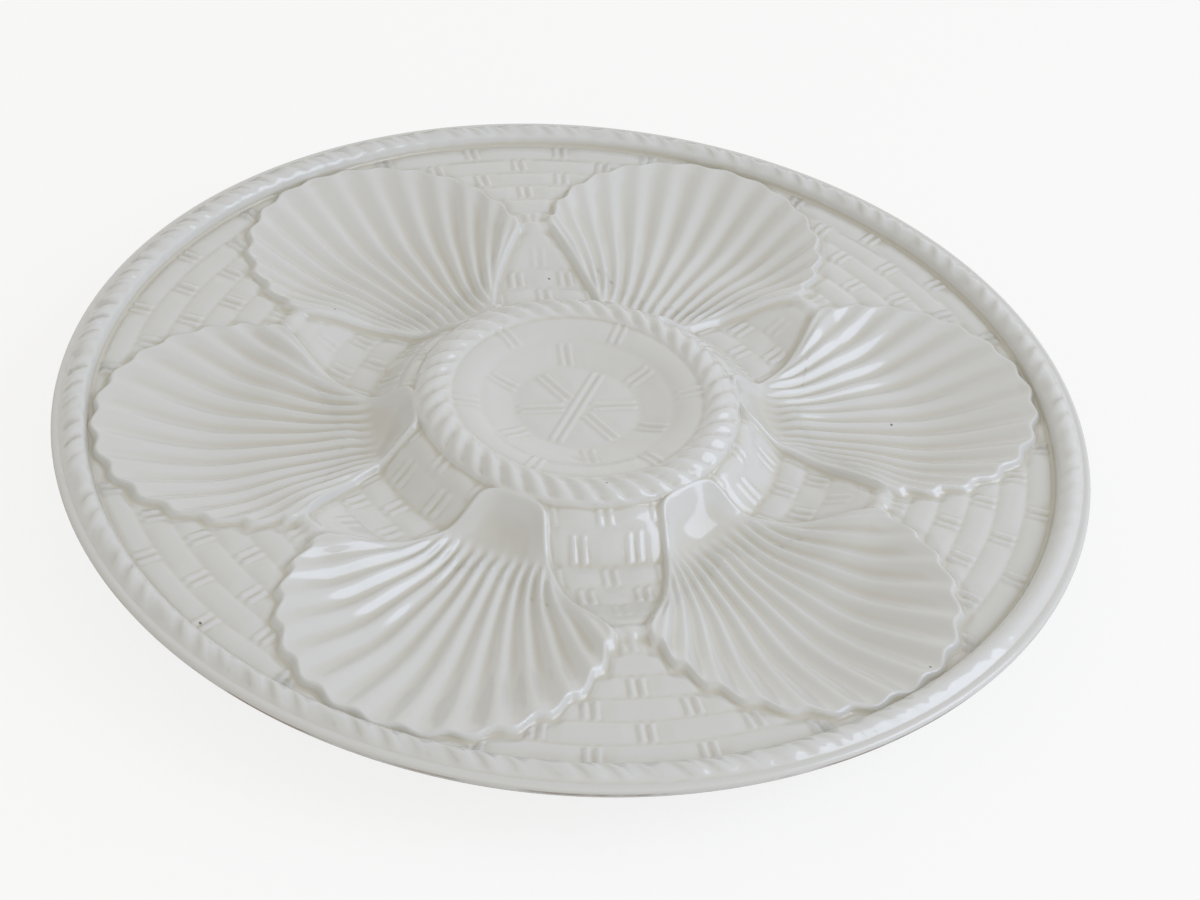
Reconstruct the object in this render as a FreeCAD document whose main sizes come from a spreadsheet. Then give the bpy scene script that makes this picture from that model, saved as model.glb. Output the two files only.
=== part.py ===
"""Oyster plate: a round glazed earthenware plate with six fluted shell wells, a basket-weave ground,
a twisted rope round the rim and another round a small centre dish.

The real plate is pressed and fired as one piece of clay. It is modelled here as its moulded members,
each a separate solid, which meet face to face: the rolled edge, the rope on the rim, six shell wells,
six weave panels outside the shells and six between them, the centre dish, the rope round that dish,
and the foot ring.

Frame: millimetres, +Z up, the plate's axis on Z, the foot ring standing on Z = 0. The first shell's
axis is +X, and the others follow anticlockwise.
"""
import FreeCAD, Part

import Sketcher
import math
import os
from bisect import bisect_left

Vector = FreeCAD.Vector

# Driving dimensions: millimetres, degrees and counts.
SIZES = {
    # the whole plate
    "plate_radius": 122.5,
    "wall": 4.3,
    "well_depth": 9.7,
    "foot_height": 6.0,
    "shell_count": 6,
    "fit": 0.08,
    # the rolled edge
    "edge_roll": 1.8,
    "edge_crown": 0.7,
    "edge_drop": 3.8,
    "edge_tuck": 2.2,
    "edge_round": 0.5,
    # the rope on the rim
    "rim_rope_width": 6.2,
    "rim_rope_rise": 2.6,
    "rim_rope_seat": 1.2,
    "rim_strands": 144,
    "rim_strand_lean": 2.8,
    "rim_strand_groove": 0.7,
    # the centre dish and the rope round it
    "dish_radius": 30.0,
    "dish_floor_radius": 21.5,
    "dish_floor_drop": 1.1,
    "centre_rope_width": 8.5,
    "centre_rope_rise": 4.5,
    "centre_rope_seat": 0.2,
    "centre_strands": 40,
    "centre_strand_lean": 9.0,
    "centre_strand_groove": 1.2,
    # the stakes moulded on the floor of the dish
    "stake_width": 1.3,
    "stake_gap": 0.9,
    "stake_rise": 0.6,
    "star_start": 5.0,
    "star_end": 14.6,
    "inner_stake_start": 15.4,
    "inner_stake_end": 20.8,
    # the shell wells
    "apex_gap": 1.0,
    "pinch_gap": 2.8,
    "pinch_neck": 1.8,
    "well_centre": 55.0,
    "fan_half_angle": 72.5,
    "flutes": 15,
    "flute_depth": 1.2,
    "scallop": 1.2,
    "arch_start": 45.0,
    "arch_half_width": 13.6,
    "hinge_depth": 8.0,
    "tip_gap": 0.6,
    "belly_sag": 2.4,
    "lip_width": 2.0,
    "lip_rise": 1.5,
    "lip_drop": 0.5,
    # the weave ground
    "tip_rise": 1.8,
    "valley_depth": 6.0,
    "valley_start": 51.0,
    "valley_end": 57.0,
    "outer_rows": 6,
    "inner_weave_pitch": 6.4,
    "outer_weave_pitch": 6.3,
    "weave_relief": 0.7,
    # the foot ring
    "foot_inner_radius": 54.0,
    "foot_width": 6.0,
    "foot_draft": 1.0,
    "foot_land": 2.0,
    "foot_blend": 5.0,
}

# How finely the facets follow the curved members.
HINGE_RAYS = 7
HINGE_CROWDING = 1.8
HINGE_ROUNDNESS = 5
BOWL_RINGS = (0.25, 0.52, 0.8)
BACK_RING = 0.82
BELLY_RING = 0.58
ARC_STEP = math.radians(3.6)
BOWL_RISE = 2.8
FLUTE_BEND = 1.1
FLUTE_BEND_FALL = 1.6
OUTLINE_SAMPLES = 720

doc = FreeCAD.newDocument("oyster_plate")
sheet = doc.addObject("Spreadsheet::Sheet", "Sizes")
for row, (alias, value) in enumerate(SIZES.items(), start=1):
    sheet.set(f"A{row}", alias.replace("_", " "))
    sheet.set(f"B{row}", str(value))
    sheet.setAlias(f"B{row}", alias)
doc.recompute()


def size(alias):
    """A driving dimension, read back from the sheet."""
    return float(sheet.get(alias))


# Heights and radii that follow from the driving dimensions.
edge_z = size("foot_height") + size("wall") + size("well_depth")
rope_outer = size("plate_radius") - size("edge_roll")
rope_inner = rope_outer - size("rim_rope_width")
centre_outer = size("dish_radius") + size("centre_rope_width")
shell_count = int(size("shell_count"))
half_pitch = math.pi / shell_count

# The margin of a shell is a circle that stops short of the rim rope and of the line between shells.
apex_radius = rope_inner - size("apex_gap")
margin_centre = (apex_radius + size("pinch_gap")) / (1 + math.sin(half_pitch))
margin_radius = apex_radius - margin_centre
ground_start = centre_outer + size("fit")
ground_end = rope_inner - size("fit")

# The ear of a shell lies on its margin, where half the neck of weave and one lip still fit beside it.
ear_clearance = size("lip_width") + size("pinch_neck")
ear_turn = half_pitch + math.asin(1 - (ear_clearance - size("pinch_gap")) / margin_radius)
ear_x = margin_centre + margin_radius * math.cos(ear_turn)
ear_y = margin_radius * math.sin(ear_turn)
ear = math.atan2(ear_y, ear_x - size("well_centre"))
pinch_radius = math.hypot(ear_x, ear_y)
weave_row = (rope_inner - pinch_radius) / size("outer_rows")

# The weave between two shells is bounded by a parabola about the line between them, from ear to ear.
ear_along = ear_x * math.cos(half_pitch) + ear_y * math.sin(half_pitch)
arch_length = (ear_along - size("arch_start")) / math.sqrt(1 - ear_clearance / size("arch_half_width"))


def ease(value, low, high):
    """0 below low, 1 above high, and a smooth rise between them."""
    share = min(max((value - low) / (high - low), 0.0), 1.0)
    return 0.5 - 0.5 * math.cos(math.pi * share)


def ramp(value, low, high):
    """0 below low, 1 above high, and a straight rise between them."""
    return min(max((value - low) / (high - low), 0.0), 1.0)


# ---------------------------------------------------------------- facets

class Facets:
    """Collects the triangles of one closed member and turns them into a solid."""

    def __init__(self):
        self.points = []
        self.index = {}
        self.triangles = []

    def corner(self, point):
        """The number of a point, which is shared by all the triangles that meet there."""
        key = tuple(round(value, 5) for value in point)
        if key not in self.index:
            self.index[key] = len(self.points)
            self.points.append(Vector(*key))
        return self.index[key]

    def triangle(self, first, second, third):
        corners = tuple(self.corner(point) for point in (first, second, third))
        if len(set(corners)) == 3:
            self.triangles.append(corners)

    def fan(self, hub, ring):
        """A fan of triangles from a hub to a closed ring."""
        for here, there in zip(ring, ring[1:] + ring[:1]):
            self.triangle(hub, here, there)

    def strip(self, low, high, low_marks=None, high_marks=None):
        """The strip between two rows of points, paired in the order of their marks."""
        low_marks = low_marks or list(range(len(low)))
        high_marks = high_marks or list(range(len(high)))
        near, far = 0, 0
        while near < len(low) - 1 or far < len(high) - 1:
            near_left = near < len(low) - 1
            far_left = far < len(high) - 1
            near_next = low_marks[near + 1] if near_left else math.inf
            far_next = high_marks[far + 1] if far_left else math.inf
            if near_next <= far_next:
                self.triangle(low[near], low[near + 1], high[far])
                near += 1
            else:
                self.triangle(low[near], high[far + 1], high[far])
                far += 1

    def solid(self):
        """The closed solid, with its flat neighbours joined into one face."""
        skin = Part.Shape()
        skin.makeShapeFromMesh((self.points, self.triangles), 1e-4)
        body = Part.Solid(Part.Shell(skin.Faces)).removeSplitter()
        if body.Volume < 0:
            body.reverse()
        return body


def closed(ring):
    """A ring with its first point repeated at the end."""
    return ring + ring[:1]


def facet_member(name, facets, turn=0.0):
    """A member of the plate made of facets, turned about the plate's axis."""
    member = doc.addObject("Part::Feature", name)
    member.Label = name
    member.Shape = facets.solid()
    axis = Vector(0, 0, 1)
    member.Placement = FreeCAD.Placement(Vector(), FreeCAD.Rotation(axis, math.degrees(turn)))
    return member


# ---------------------------------------------------------------- the moulded surfaces

def lip_line(radius):
    """Height of a shell's lip at a distance from the plate's axis."""
    if radius < size("valley_start"):
        fall = ease(radius, centre_outer, size("valley_start"))
        return edge_z + size("tip_rise") - fall * (size("tip_rise") + size("valley_depth"))
    climb = ease(radius, size("valley_end"), pinch_radius)
    return edge_z - size("valley_depth") + climb * (size("valley_depth") - size("lip_drop"))


def ground(radius):
    """Height of the ground round the shells, which rises to the lips where two shells pinch it."""
    pinch = 1 - ramp(abs(radius - pinch_radius), 0, weave_row / 2)
    return lip_line(radius) - size("lip_rise") * (1 - pinch)


def ground_back(radius):
    """Height of the back of the ground, which doesn't follow the rise at the pinch."""
    return underside(radius, lip_line(radius) - size("lip_rise"))


def underside(radius, top):
    """Height of the back below a point: one wall thick, but flat where the foot ring joins it."""
    land_start = size("foot_inner_radius") - size("foot_land")
    land_end = size("foot_inner_radius") + size("foot_width") + size("foot_land")
    outside = ramp(land_start - radius, 0, size("foot_blend")) + ramp(radius - land_end, 0, size("foot_blend"))
    clear = max(top - size("wall") - size("foot_height"), 0.0)
    return size("foot_height") + clear * outside


def reach_of_fan(angle):
    """Distance from the well's centre to the margin circle, at an angle from the shell's axis."""
    back = margin_centre - size("well_centre")
    return back * math.cos(angle) + math.sqrt(margin_radius ** 2 - (back * math.sin(angle)) ** 2)


def reach_of_arch(angle):
    """Distance from the well's centre to the parabolic arch of weave between this shell and the next."""
    along = (size("well_centre") * math.cos(half_pitch) - size("arch_start")) / arch_length
    aside = size("well_centre") * math.sin(half_pitch) / size("arch_half_width")
    go_along = math.cos(angle - half_pitch) / arch_length
    go_aside = -math.sin(angle - half_pitch) / size("arch_half_width")
    slope = along * go_along + go_aside / 2
    root = slope ** 2 - go_along ** 2 * (along ** 2 + aside - 1)
    return (1 - aside - along ** 2) / (slope - math.sqrt(root)) if root >= 0 and slope < 0 else math.inf


def reach_of_tip(angle):
    """Distance from the well's centre to the circle, just outside the centre rope, that ends the hinge."""
    tip_radius = centre_outer + size("tip_gap")
    back = size("well_centre") * math.cos(angle)
    root = back ** 2 - size("well_centre") ** 2 + tip_radius ** 2
    return -back - math.sqrt(root) if root >= 0 and back < 0 else math.inf


def reach_of_hinge(angle):
    """Distance from the well's centre to the side of the shell, rounded into the end of its hinge."""
    power = -HINGE_ROUNDNESS
    return (reach_of_arch(angle) ** power + reach_of_tip(angle) ** power) ** (1 / power)


def plan(reach, angle):
    """The place in plan of a point of the first shell, from its distance and angle about the well's centre."""
    return (size("well_centre") + reach * math.cos(angle), reach * math.sin(angle))


def smooth_reach(angle):
    """Distance from the well's centre to the lip, without its scallops."""
    return reach_of_fan(angle) if abs(angle) <= ear else reach_of_hinge(abs(angle))


def lip_foot_line():
    """Radius and angle about the plate's axis along the outer foot of the lip, from hinge to apex."""
    step = math.pi / OUTLINE_SAMPLES
    line = []
    for number in range(OUTLINE_SAMPLES, -1, -1):
        angle = number * step
        here = plan(smooth_reach(angle), angle)
        ahead = plan(smooth_reach(angle + step), angle + step)
        along = math.hypot(ahead[0] - here[0], ahead[1] - here[1])
        across = ((ahead[1] - here[1]) / along, -(ahead[0] - here[0]) / along)
        foot = (here[0] + size("lip_width") * across[0], here[1] + size("lip_width") * across[1])
        radius = math.hypot(*foot)
        if not line or radius > line[-1][0]:
            line.append((radius, math.atan2(foot[1], foot[0])))
    return line


foot_line = lip_foot_line()


def foot_angle(radius):
    """Angle about the plate's axis of the lip's outer foot, at a radius."""
    radii = [entry[0] for entry in foot_line]
    if radius >= radii[-1]:
        return 0.0
    after = max(bisect_left(radii, radius), 1)
    (low, low_angle), (high, high_angle) = foot_line[after - 1], foot_line[after]
    share = min(max((radius - low) / (high - low), 0.0), 1.0)
    return low_angle + share * (high_angle - low_angle)


def stations(start, end):
    """Radii of the weave's row edges and row middles, from start to end."""
    step = weave_row / 2
    number = math.floor((start - pinch_radius) / step + 0.25) + 1
    rows = [start]
    while pinch_radius + number * step < end - step / 4:
        rows.append(pinch_radius + number * step)
        number += 1
    return rows + [end]


def at(radius, angle, height):
    """A point from its radius and angle about the plate's axis."""
    return (radius * math.cos(angle), radius * math.sin(angle), height)


# ---------------------------------------------------------------- shell wells

def lip_rays():
    """The rays of a shell, anticlockwise from its apex: mark, angle, and whether it is a flute's ridge."""
    flutes = int(size("flutes"))
    pitch = math.radians(2 * size("fan_half_angle") / flutes)
    half = []
    for number in range(flutes):
        angle = number * pitch / 2
        if angle < ear - pitch / 4:
            half.append((angle, (number + flutes) % 2 == 0))
    for number in range(HINGE_RAYS + 1):
        half.append((ear + (math.pi - ear) * (number / HINGE_RAYS) ** HINGE_CROWDING, False))
    mirrored = [(-angle, ridge) for angle, ridge in reversed(half[1:-1])]
    return [(angle % (2 * math.pi), angle, ridge) for angle, ridge in half + mirrored]


def bowl_height(share, angle):
    """Height of the smooth bowl, at a share of the way from the well's centre to the lip."""
    reach = smooth_reach(angle)
    lip = lip_line(math.hypot(*plan(reach, angle)))
    floor = edge_z - size("hinge_depth")
    sag = size("belly_sag") * reach / smooth_reach(0)
    return floor + (lip - floor) * share ** BOWL_RISE - sag * math.sin(math.pi * share) ** 2


def lip_foot_ring():
    """The outer foot of the lip, from the apex: mark about the well, radius and angle about the axis."""
    hinge_steps = math.ceil(foot_angle(ground_start) / ARC_STEP)
    apex_steps = max(math.ceil(foot_angle(ground_end) / ARC_STEP), 1)
    half = [(ground_end, foot_angle(ground_end) * number / apex_steps) for number in range(apex_steps)]
    half += [(radius, foot_angle(radius)) for radius in reversed(stations(ground_start, ground_end))]
    half += [(ground_start, foot_angle(ground_start) * (1 - number / hinge_steps))
             for number in range(1, hinge_steps + 1)]
    mirrored = [(radius, -angle) for radius, angle in reversed(half[1:-1])]
    ring = []
    for radius, angle in half + mirrored:
        x, y, _ = at(radius, angle, 0)
        ring.append((math.atan2(y, x - size("well_centre")) % (2 * math.pi), radius, angle))
    return ring


def shell_well():
    """One fluted shell well, lip and back included, on the +X axis."""
    facets = Facets()
    rays = lip_rays()
    marks = [mark for mark, _, _ in rays]
    whole = 2 * math.pi

    def ring(share):
        relief = size("flute_depth") * ramp(share, BOWL_RINGS[0], BOWL_RINGS[1])
        relief *= 1 - 0.5 * ramp(share, BOWL_RINGS[-1], 1)
        bend = FLUTE_BEND * (1 - share) ** FLUTE_BEND_FALL
        points = []
        for _, angle, ridge in rays:
            bent = angle + bend * math.sin(angle)
            reach = smooth_reach(bent) - (size("scallop") if ridge else 0)
            x, y = plan(reach * share, bent)
            points.append((x, y, bowl_height(share, bent) + (relief if ridge else 0)))
        return points

    rings = [ring(share) for share in BOWL_RINGS] + [ring(1.0)]
    # The second half of each ring is split as the mirror image of the first.
    mirrored = [number if number <= len(rays) / 2 else number - 0.5 for number in range(len(rays) + 1)]
    facets.fan((*plan(0, 0), bowl_height(0, 0)), rings[0])
    for inner, outer in zip(rings, rings[1:]):
        facets.strip(closed(outer), closed(inner), high_marks=mirrored)

    foot = lip_foot_ring()
    foot_marks = [mark for mark, _, _ in foot] + [whole]
    top = [at(radius, angle, ground(radius)) for _, radius, angle in foot]
    back = [at(radius, angle, ground_back(radius)) for _, radius, angle in foot]
    facets.strip(closed(top), closed(rings[-1]), foot_marks, marks + [whole])
    facets.strip(closed(back), closed(top))

    def back_ring(share, flat):
        points = []
        for _, angle, _ in rays[::2]:
            x, y = plan(smooth_reach(angle) * share, angle)
            below = underside(math.hypot(x, y), bowl_height(share, angle))
            points.append((x, y, size("foot_height") if flat else below))
        return points

    middle = back_ring(BACK_RING, False)
    belly = back_ring(BELLY_RING, True)
    facets.strip(closed(middle), closed(back), marks[::2] + [whole], foot_marks)
    facets.strip(closed(belly), closed(middle))
    facets.fan((*plan(0, 0), size("foot_height")), list(reversed(belly)))
    return facets


# ---------------------------------------------------------------- weave panels

def weave_height(radius, row, column):
    """Height of the weave: low along the row edges and over a stake, high over a strand between them."""
    if row % 2 == 0:
        return ground(radius)
    over = (row // 2 + column) % 2
    return ground(radius) + (size("weave_relief") if over else 0)


def stake_turn(radius):
    """Angle about the plate's axis between two neighbouring stakes, which are parallel inside the pinch."""
    return size("inner_weave_pitch") / radius if radius < pinch_radius else math.radians(size("outer_weave_pitch"))


def weave_panel(start, end):
    """The basket weave between two neighbouring shells, from one radius to another, about +X."""
    facets = Facets()
    rows = stations(start, end)
    tops = []
    marks = []
    for number, radius in enumerate(rows):
        half = half_pitch - foot_angle(radius)
        round_edge = number in (0, len(rows) - 1)
        step = stake_turn(radius) / 2 if round_edge else stake_turn(radius)
        reach = math.floor((half - step / 4) / step)
        columns = range(-reach, reach + 1)
        inner = []
        for column in columns:
            height = ground(radius) if round_edge else weave_height(radius, row_number(radius), column)
            inner.append(at(radius, column * step, height))
        ends = [at(radius, side * half, ground(radius)) for side in (-1, 1)]
        tops.append([ends[0]] + inner + [ends[1]])
        marks.append([-half] + [column * step for column in columns] + [half])
    for number in range(len(rows) - 1):
        facets.strip(tops[number + 1], tops[number], marks[number + 1], marks[number])

    def drop(point):
        return (point[0], point[1], ground_back(math.hypot(point[0], point[1])))

    backs = [[drop(point) for point in row] for row in (tops[0], tops[-1])]
    backs = [backs[0]] + [[drop(row[0]), drop(row[-1])] for row in tops[1:-1]] + [backs[1]]
    back_marks = [marks[0]] + [[mark[0], mark[-1]] for mark in marks[1:-1]] + [marks[-1]]
    for number in range(len(rows) - 1):
        facets.strip(backs[number], backs[number + 1], back_marks[number], back_marks[number + 1])
    facets.strip(tops[0], backs[0])
    facets.strip(backs[-1], tops[-1])
    facets.strip([row[0] for row in backs], [row[0] for row in tops])
    facets.strip([row[-1] for row in tops], [row[-1] for row in backs])
    return facets


def row_number(radius):
    """Number of half rows between the pinch and a radius, below 0 inside it."""
    return round((radius - pinch_radius) / (weave_row / 2))


# ---------------------------------------------------------------- twisted ropes

def twisted_rope(inner, outer, seat, crest, strands, lean, groove, sections):
    """A half-round rope moulding laid round the axis on a flat seat, its strands leaning outwards.

    Each strand has a ridge and a groove, which run out at the two plain feet.
    """
    facets = Facets()
    turn = 2 * math.pi / strands
    middle = (inner + outer) / 2
    half = (outer - inner) / 2
    rings = []
    marks = []
    for number in range(sections + 1):
        bend = math.pi * number / sections
        foot = number in (0, sections)
        ring = []
        for step in range(0, 2 * strands, 2 if foot else 1):
            cut = groove * (step % 2)
            radius = middle - (half - cut) * math.cos(bend)
            height = seat + (crest - seat - cut) * math.sin(bend)
            angle = step * turn / 2 + lean * (radius - middle) / (2 * half)
            ring.append(at(radius, angle, height))
        rings.append(closed(ring))
        marks.append(list(range(0, 2 * strands + 1, 2 if foot else 1)))
    for number in range(sections):
        facets.strip(rings[number], rings[number + 1], marks[number], marks[number + 1])
    facets.strip(rings[-1], rings[0])
    return facets


def rim_rope():
    return twisted_rope(
        rope_inner, rope_outer - size("fit"), edge_z - size("rim_rope_seat"),
        edge_z + size("rim_rope_rise"), int(size("rim_strands")),
        math.radians(size("rim_strand_lean")), size("rim_strand_groove"), 4)


def centre_rope():
    return twisted_rope(
        size("dish_radius"), centre_outer, edge_z + size("centre_rope_seat"),
        edge_z + size("centre_rope_rise"), int(size("centre_strands")),
        math.radians(size("centre_strand_lean")), size("centre_strand_groove"), 6)


# ---------------------------------------------------------------- turned members

EDGE_Z = "(Sizes.foot_height + Sizes.wall + Sizes.well_depth)"
ROPE_OUTER = "(Sizes.plate_radius - Sizes.edge_roll)"
ROPE_INNER = f"({ROPE_OUTER} - Sizes.rim_rope_width)"
RIM_SEAT_Z = f"({EDGE_Z} - Sizes.rim_rope_seat)"
RIM_BACK_Z = f"({EDGE_Z} - Sizes.lip_drop - Sizes.lip_rise - Sizes.wall)"
CENTRE_OUTER = "(Sizes.dish_radius + Sizes.centre_rope_width)"
CENTRE_SEAT_Z = f"({EDGE_Z} + Sizes.centre_rope_seat)"
DISH_BACK_Z = f"({EDGE_Z} + Sizes.tip_rise - Sizes.lip_rise - Sizes.wall)"
FLOOR_Z = f"({EDGE_Z} - Sizes.dish_floor_drop)"
FOOT_OUTER = "(Sizes.foot_inner_radius + Sizes.foot_width)"


def origin_item(body, role):
    """One of the body's own origin planes or axes."""
    return next(item for item in body.Origin.OriginFeatures if item.Role == role)


def outline_sketch(body, name, role, outlines):
    """A sketch of closed straight-sided outlines whose corners are bound to the sheet's sizes.

    Each corner is a pair of expressions. A coordinate given as None lies on the sketch's axis.
    """
    sketch = body.newObject("Sketcher::SketchObject", name)
    sketch.AttachmentSupport = [(origin_item(body, role), "")]
    sketch.MapMode = "FlatFace"
    for corners in outlines:
        first = sketch.GeometryCount
        places = [[0.0 if text is None else float(sheet.evalExpression(text)) for text in corner]
                  for corner in corners]
        for here, there in zip(places, closed(places)[1:]):
            sketch.addGeometry(Part.LineSegment(Vector(*here, 0), Vector(*there, 0)))
        for number, corner in enumerate(corners):
            line = first + number
            after = first + (number + 1) % len(corners)
            sketch.addConstraint(Sketcher.Constraint("Coincident", line, 2, after, 1))
            for kind, axis, text, value in zip(("DistanceX", "DistanceY"), (-2, -1), corner, places[number]):
                if text is None:
                    sketch.addConstraint(Sketcher.Constraint("PointOnObject", line, 1, axis))
                else:
                    held = sketch.addConstraint(Sketcher.Constraint(kind, -1, 1, line, 1, value))
                    sketch.setExpression(f"Constraints[{held}]", text)
    return sketch


def turned_body(name, corners):
    """A body of revolution about the plate's axis, from its half section in radius and height."""
    body = doc.addObject("PartDesign::Body", name)
    body.Label = name
    section = outline_sketch(body, f"{name}_section", "XZ_Plane", [corners])
    turned = body.newObject("PartDesign::Revolution", f"{name}_turned")
    turned.Profile = section
    turned.ReferenceAxis = (section, ["V_Axis"])
    turned.Angle = 360
    return body


def rim_edge():
    """The rolled edge of the plate, with the seat for the rope inside it."""
    return turned_body("rim_edge", [
        (ROPE_INNER, RIM_BACK_Z),
        ("Sizes.plate_radius - Sizes.edge_tuck", f"{EDGE_Z} - Sizes.edge_drop"),
        ("Sizes.plate_radius", EDGE_Z),
        ("Sizes.plate_radius - Sizes.edge_round", f"{EDGE_Z} + Sizes.edge_round"),
        (ROPE_OUTER, f"{EDGE_Z} + Sizes.edge_crown"),
        (ROPE_OUTER, RIM_SEAT_Z),
        (ROPE_INNER, RIM_SEAT_Z),
    ])


def foot_ring():
    """The ring that the plate stands on, drafted towards its rubbed face."""
    return turned_body("foot_ring", [
        ("Sizes.foot_inner_radius", "Sizes.foot_height"),
        ("Sizes.foot_inner_radius + Sizes.foot_draft", None),
        (f"{FOOT_OUTER} - Sizes.foot_draft", None),
        (FOOT_OUTER, "Sizes.foot_height"),
    ])


def stake_pair(body, name, start, end, turn):
    """A pair of moulded stakes on the floor of the dish, repeated round it as often as the shells."""
    sides = [("Sizes.stake_gap / 2", "Sizes.stake_gap / 2 + Sizes.stake_width")]
    sides.append(("-Sizes.stake_gap / 2 - Sizes.stake_width", "-Sizes.stake_gap / 2"))
    outlines = [[(start, low), (end, low), (end, high), (start, high)] for low, high in sides]
    sketch = outline_sketch(body, f"{name}_outline", "XY_Plane", outlines)
    sketch.AttachmentOffset = FreeCAD.Placement(Vector(0, 0, 1), FreeCAD.Rotation(Vector(0, 0, 1), 1))
    sketch.setExpression("AttachmentOffset.Base.z", f"{FLOOR_Z} - Sizes.stake_rise")
    sketch.setExpression("AttachmentOffset.Rotation.Angle", turn)
    pad = body.newObject("PartDesign::Pad", f"{name}_pad")
    pad.Profile = sketch
    pad.setExpression("Length", "2 * Sizes.stake_rise")
    pattern = body.newObject("PartDesign::PolarPattern", f"{name}_round")
    pattern.Originals = [pad]
    pattern.Axis = (origin_item(body, "Z_Axis"), [""])
    pattern.Angle = 360
    pattern.setExpression("Occurrences", "Sizes.shell_count")
    body.Tip = pattern


def centre_dish():
    """The small dish in the middle, with the seat for its rope and the stakes moulded on its floor."""
    body = turned_body("centre_dish", [
        (None, f"{FLOOR_Z} - Sizes.wall"),
        ("Sizes.dish_floor_radius", f"{FLOOR_Z} - Sizes.wall"),
        (CENTRE_OUTER, DISH_BACK_Z),
        (CENTRE_OUTER, CENTRE_SEAT_Z),
        ("Sizes.dish_radius", CENTRE_SEAT_Z),
        ("Sizes.dish_floor_radius", FLOOR_Z),
        (None, FLOOR_Z),
    ])
    stake_pair(body, "star", "Sizes.star_start", "Sizes.star_end", "0")
    stake_pair(body, "stakes", "Sizes.inner_stake_start", "Sizes.inner_stake_end", "180 / Sizes.shell_count")
    return body


# ---------------------------------------------------------------- the plate

members = [rim_edge(), centre_dish(), foot_ring()]
members.append(facet_member("rim_rope", rim_rope()))
members.append(facet_member("centre_rope", centre_rope()))
for number in range(shell_count):
    turn = 2 * half_pitch * number
    members.append(facet_member(f"shell_well_{number + 1}", shell_well(), turn))
    inner = weave_panel(ground_start, pinch_radius)
    members.append(facet_member(f"inner_weave_{number + 1}", inner, turn + half_pitch))
    outer = weave_panel(pinch_radius, ground_end)
    members.append(facet_member(f"outer_weave_{number + 1}", outer, turn + half_pitch))
doc.recompute()

for item in doc.Objects:
    if "Invalid" in item.State or "Error" in item.State:
        raise RuntimeError(f"{item.Name} did not build: {item.State}")
for member in members:
    if member.Shape.isNull() or not member.Shape.isValid() or member.Shape.Volume <= 0:
        raise RuntimeError(f"{member.Label} is not a sound solid")

os.makedirs("parts", exist_ok=True)
for member in members:
    member.Shape.exportStep(f"parts/{member.Label}.step")
    print(f"{member.Label}: {len(member.Shape.Faces)} faces, {member.Shape.Volume / 1000:.2f} cm3")
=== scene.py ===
"""Looks of the glazed oyster plate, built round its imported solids.

The plate is one skin of glazed clay, so its relief is written here as one height in plan: bowls, flutes,
lips, basket weave, ropes and dish run into one another as wet glaze does. Each piece is pressed out of a
plain primitive to its own share of that skin, and its shading follows the skin across the joins.

Plan sizes and heights are in millimetres, in the frame's own axes, and become metres in the meshes.
"""
import logging
import math
from dataclasses import dataclass
from enum import Enum
from typing import Callable

import bpy
import numpy as np
from mathutils import Matrix, Vector


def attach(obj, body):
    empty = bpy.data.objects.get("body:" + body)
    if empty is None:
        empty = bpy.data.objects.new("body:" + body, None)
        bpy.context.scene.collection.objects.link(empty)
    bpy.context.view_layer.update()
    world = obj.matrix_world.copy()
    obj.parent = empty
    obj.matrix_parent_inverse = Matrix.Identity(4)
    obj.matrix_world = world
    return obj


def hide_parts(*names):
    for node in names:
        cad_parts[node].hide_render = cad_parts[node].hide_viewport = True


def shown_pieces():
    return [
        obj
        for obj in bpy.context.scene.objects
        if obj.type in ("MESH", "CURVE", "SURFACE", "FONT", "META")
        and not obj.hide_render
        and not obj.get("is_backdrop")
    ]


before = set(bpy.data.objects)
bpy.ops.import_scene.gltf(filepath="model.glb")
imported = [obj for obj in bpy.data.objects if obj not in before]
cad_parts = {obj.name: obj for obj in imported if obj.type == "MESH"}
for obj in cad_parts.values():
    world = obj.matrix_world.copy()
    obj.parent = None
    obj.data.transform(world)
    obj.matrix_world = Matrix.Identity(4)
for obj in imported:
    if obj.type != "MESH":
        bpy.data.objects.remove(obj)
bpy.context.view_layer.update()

MM = 0.001
HALF_PITCH = math.pi / 6
SHELLS = 6
PINCH_RADIUS = 75.664  # where the lips of two shells come closest
NEVER = 500.0  # stands for the distance to a line that a ray does not meet

log = logging.getLogger("oyster_plate")
Array = np.ndarray
Heights = np.ndarray
Span = tuple[float, float]
Piece = bpy.types.Object
Material = bpy.types.Material


# ---------------------------------------------------------------- sums on arrays

def ease(value: Array, low: float, high: float) -> Array:
    """0 below low, 1 above high, and a smooth rise between them."""
    share = np.clip((value - low) / (high - low), 0, 1)
    return 0.5 - 0.5 * np.cos(np.pi * share)


def ramp(value: Array, low: float, high: float) -> Array:
    """0 below low, 1 above high, and a straight rise between them."""
    return np.clip((value - low) / (high - low), 0, 1)


def lower(first: Array, second: Array, radius: float) -> Array:
    """The lower of two surfaces, rounded where they cross.

    Args:
        first: Heights of one surface.
        second: Heights of the other.
        radius: How far apart the surfaces are where the rounding ends.

    Returns:
        The rounded lower surface.
    """
    share = np.clip(0.5 + 0.5 * (second - first) / radius, 0, 1)
    return second + (first - second) * share - radius * share * (1 - share)


def higher(first: Array, second: Array, radius: float) -> Array:
    """The higher of two surfaces, rounded where they cross."""
    return -lower(-first, -second, radius)


def rounded(value: Array, radius: float) -> Array:
    """The size of a value without its sign, rounded at 0, and still 1 at 1."""
    return (np.sqrt(value ** 2 + radius ** 2) - radius) / (math.sqrt(1 + radius ** 2) - radius)


def hump(value: Array, middle: float, half: float) -> Array:
    """1 at the middle, and a parabola down to 0 at half to each side of it."""
    return np.clip(1 - ((value - middle) / half) ** 2, 0, 1)


# ---------------------------------------------------------------- forms in plan

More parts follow.
